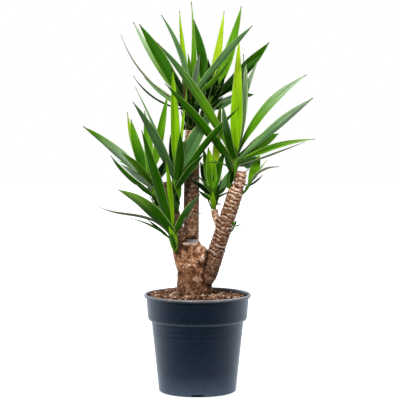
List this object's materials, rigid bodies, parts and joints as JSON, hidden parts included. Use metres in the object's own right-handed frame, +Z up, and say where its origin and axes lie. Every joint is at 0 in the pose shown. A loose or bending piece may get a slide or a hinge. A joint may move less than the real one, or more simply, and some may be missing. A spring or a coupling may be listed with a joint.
{
  "type": "potted yucca",
  "caption": "Branched yucca: woody canes on a gnarled stump carry rosettes of long pointed leaves, standing in bark mix in a round dark plastic nursery pot with a collar.",
  "frame": {"origin": "centre of the pot's flat foot, on the surface that it stands on", "axes": "+Z up along the pot's axis, +X to the right and +Y to the back as the picture sees the plant"},
  "size_m": [0.5216, 0.3674, 0.8811],
  "materials": {
    "pot_plastic": "moulded satin",
    "bark_mix": "loose and rough",
    "trunk_bark": "scarred and dull",
    "leaf_green": "smooth semi-gloss"
  },
  "bodies": {
    "root": {"pot": "pot_plastic", "soil": "bark_mix", "trunk": "trunk_bark", "leaves_top_left": "leaf_green", "leaves_top_right": "leaf_green", "leaves_left": "leaf_green", "leaves_middle": "leaf_green", "leaves_low": "leaf_green", "leaves_right": "leaf_green", "leaves_inner": "leaf_green", "leaves_side": "leaf_green", "leaves_sprout": "leaf_green"}
  },
  "joints": []
}
